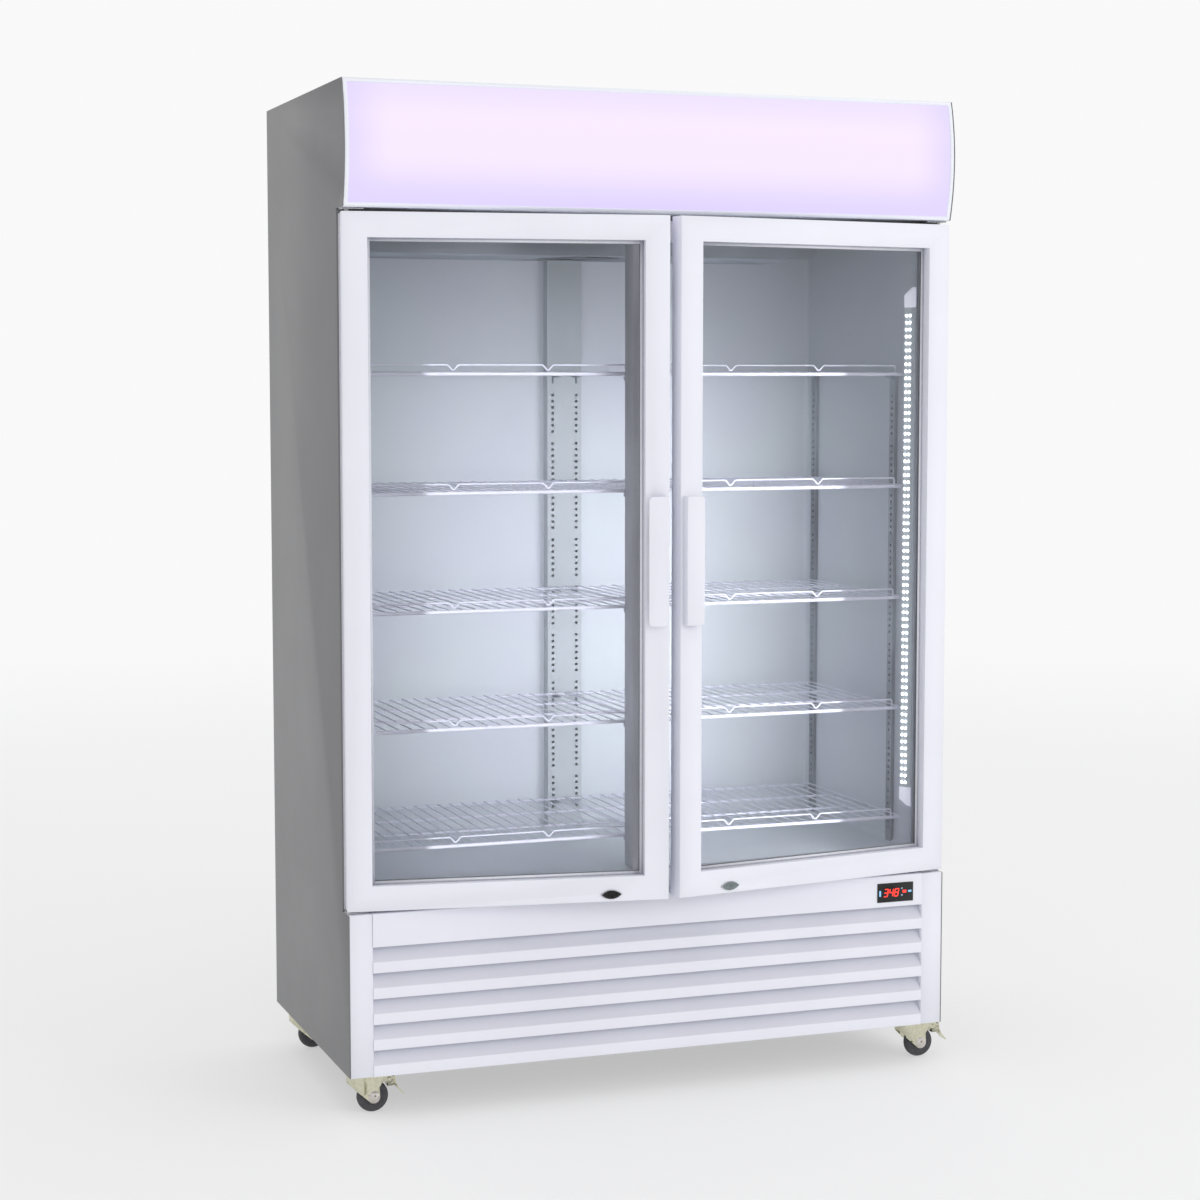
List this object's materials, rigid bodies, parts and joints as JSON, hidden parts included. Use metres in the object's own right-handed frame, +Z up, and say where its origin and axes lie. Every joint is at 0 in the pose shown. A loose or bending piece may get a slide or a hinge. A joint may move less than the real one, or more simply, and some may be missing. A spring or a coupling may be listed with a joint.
{
  "type": "glass door merchandiser",
  "caption": "Upright display refrigerator with hinged glass doors, lit canopy, wire shelves, louvred base and swivel casters.",
  "frame": {"origin": "middle of the footprint, on the floor, with both doors ajar as stored", "axes": "+Z up; the doors face -Y; +X is to the right of a person who looks at the doors"},
  "size_m": [1.314, 0.7462, 1.988],
  "materials": {
    "white_paint": "white powder coat, satin",
    "grey_paint": "mid grey powder coat, satin",
    "inner_liner": "pale grey pre-painted steel, smooth",
    "seal": "grey magnetic seal, matte",
    "glass": "clear sealed double glazing",
    "canopy_panel": "lit opal acrylic",
    "lamp": "white lamp tube",
    "shelf_wire": "white coated wire, gloss",
    "led_cover": "lit clear plastic cover with white end caps",
    "controller_plastic": "black ABS with a lit display",
    "fan_plastic": "black moulded",
    "lock_metal": "dull chrome",
    "hinge_steel": "zinc-plated steel",
    "caster_zinc": "yellow-tinted zinc plate",
    "wheel_rubber": "dark grey moulded",
    "coil_fins": "thin fins on copper pipe",
    "machine_steel": "black enamel"
  },
  "bodies": {
    "cabinet": {"left_side_panel": "grey_paint", "right_side_panel": "grey_paint", "rear_wall": "grey_paint", "top_panel": "inner_liner", "cabinet_floor": "inner_liner", "center_mullion": "inner_liner", "canopy_housing": "white_paint", "canopy_diffuser": "canopy_panel", "canopy_light_tube": "lamp", "evaporator_cover": "inner_liner", "evaporator_coil": "coil_fins", "rear_pilaster": "inner_liner", "left_front_pilaster": "inner_liner", "left_rear_pilaster": "inner_liner", "right_front_pilaster": "inner_liner", "right_rear_pilaster": "inner_liner", "left_led_strip": "led_cover", "right_led_strip": "led_cover", "left_top_hinge": "hinge_steel", "left_bottom_hinge": "hinge_steel", "right_top_hinge": "hinge_steel", "right_bottom_hinge": "hinge_steel", "base_frame": "white_paint", "louvre_panel": "white_paint", "base_pan": "machine_steel", "controller": "controller_plastic", "compressor": "machine_steel", "condenser_coil": "coil_fins", "left_shelf_1": "shelf_wire", "left_shelf_2": "shelf_wire", "left_shelf_3": "shelf_wire", "left_shelf_4": "shelf_wire", "left_shelf_5": "shelf_wire", "right_shelf_1": "shelf_wire", "right_shelf_2": "shelf_wire", "right_shelf_3": "shelf_wire", "right_shelf_4": "shelf_wire", "right_shelf_5": "shelf_wire"},
    "left_door": {"left_door_frame": "white_paint", "left_door_glass": "glass", "left_door_gasket": "seal", "left_door_handle": "white_paint"},
    "right_door": {"right_door_frame": "white_paint", "right_door_glass": "glass", "right_door_gasket": "seal", "right_door_handle": "white_paint"},
    "left_lock": {"left_lock_cylinder": "lock_metal"},
    "right_lock": {"right_lock_cylinder": "lock_metal"},
    "evaporator_fan": {"evaporator_fan": "fan_plastic"},
    "condenser_fan": {"condenser_fan": "fan_plastic"},
    "front_left_caster": {"front_left_caster_fork": "caster_zinc"},
    "front_left_wheel": {"front_left_caster_wheel": "wheel_rubber"},
    "front_left_brake": {"front_left_brake_pedal": "caster_zinc"},
    "front_right_caster": {"front_right_caster_fork": "caster_zinc"},
    "front_right_wheel": {"front_right_caster_wheel": "wheel_rubber"},
    "front_right_brake": {"front_right_brake_pedal": "caster_zinc"},
    "rear_left_caster": {"rear_left_caster_fork": "caster_zinc"},
    "rear_left_wheel": {"rear_left_caster_wheel": "wheel_rubber"},
    "rear_right_caster": {"rear_right_caster_fork": "caster_zinc"},
    "rear_right_wheel": {"rear_right_caster_wheel": "wheel_rubber"}
  },
  "joints": [
    {"name": "left_door_hinge", "type": "hinge", "parent": "cabinet", "child": "left_door", "pos_m": [-0.64196, -0.24394, 0.4], "axis": [0, 0, -1], "range_deg": [-8.4, 91.6]},
    {"name": "right_door_hinge", "type": "hinge", "parent": "cabinet", "child": "right_door", "pos_m": [0.59804, -0.24394, 0.4], "axis": [0, 0, 1], "range_deg": [-8.4, 91.6]},
    {"name": "left_lock_turn", "type": "hinge", "parent": "left_door", "child": "left_lock", "pos_m": [-0.14435, -0.31742, 0.4263], "axis": [0.1461, 0.9893, 0], "range_deg": [0, 90]},
    {"name": "right_lock_turn", "type": "hinge", "parent": "right_door", "child": "right_lock", "pos_m": [0.10044, -0.31742, 0.4263], "axis": [-0.1461, 0.9893, 0], "range_deg": [0, 90]},
    {"name": "evaporator_fan_spin", "type": "hinge", "parent": "cabinet", "child": "evaporator_fan", "pos_m": [-0.02196, 0.20491, 1.7063], "axis": [0, 0, 1], "continuous": true},
    {"name": "condenser_fan_spin", "type": "hinge", "parent": "cabinet", "child": "condenser_fan", "pos_m": [-0.32196, -0.10994, 0.1935], "axis": [0, 1, 0], "continuous": true},
    {"name": "front_left_swivel", "type": "hinge", "parent": "cabinet", "child": "front_left_caster", "pos_m": [-0.61696, -0.19894, 0.08], "axis": [0, 0, 1], "continuous": true},
    {"name": "front_left_wheel_roll", "type": "hinge", "parent": "front_left_caster", "child": "front_left_wheel", "pos_m": [-0.59496, -0.19894, 0.0315], "axis": [0, 1, 0], "continuous": true},
    {"name": "front_left_brake_press", "type": "hinge", "parent": "front_left_caster", "child": "front_left_brake", "pos_m": [-0.56446, -0.19894, 0.066], "axis": [0, 1, 0], "range_deg": [0, 10]},
    {"name": "front_right_swivel", "type": "hinge", "parent": "cabinet", "child": "front_right_caster", "pos_m": [0.57304, -0.19894, 0.08], "axis": [0, 0, 1], "continuous": true},
    {"name": "front_right_wheel_roll", "type": "hinge", "parent": "front_right_caster", "child": "front_right_wheel", "pos_m": [0.59504, -0.19894, 0.0315], "axis": [0, 1, 0], "continuous": true},
    {"name": "front_right_brake_press", "type": "hinge", "parent": "front_right_caster", "child": "front_right_brake", "pos_m": [0.62554, -0.19894, 0.066], "axis": [0, 1, 0], "range_deg": [0, 10]},
    {"name": "rear_left_swivel", "type": "hinge", "parent": "cabinet", "child": "rear_left_caster", "pos_m": [-0.61696, 0.30306, 0.08], "axis": [0, 0, 1], "continuous": true},
    {"name": "rear_left_wheel_roll", "type": "hinge", "parent": "rear_left_caster", "child": "rear_left_wheel", "pos_m": [-0.59496, 0.30306, 0.0315], "axis": [0, 1, 0], "continuous": true},
    {"name": "rear_right_swivel", "type": "hinge", "parent": "cabinet", "child": "rear_right_caster", "pos_m": [0.57304, 0.30306, 0.08], "axis": [0, 0, 1], "continuous": true},
    {"name": "rear_right_wheel_roll", "type": "hinge", "parent": "rear_right_caster", "child": "rear_right_wheel", "pos_m": [0.59504, 0.30306, 0.0315], "axis": [0, 1, 0], "continuous": true}
  ]
}
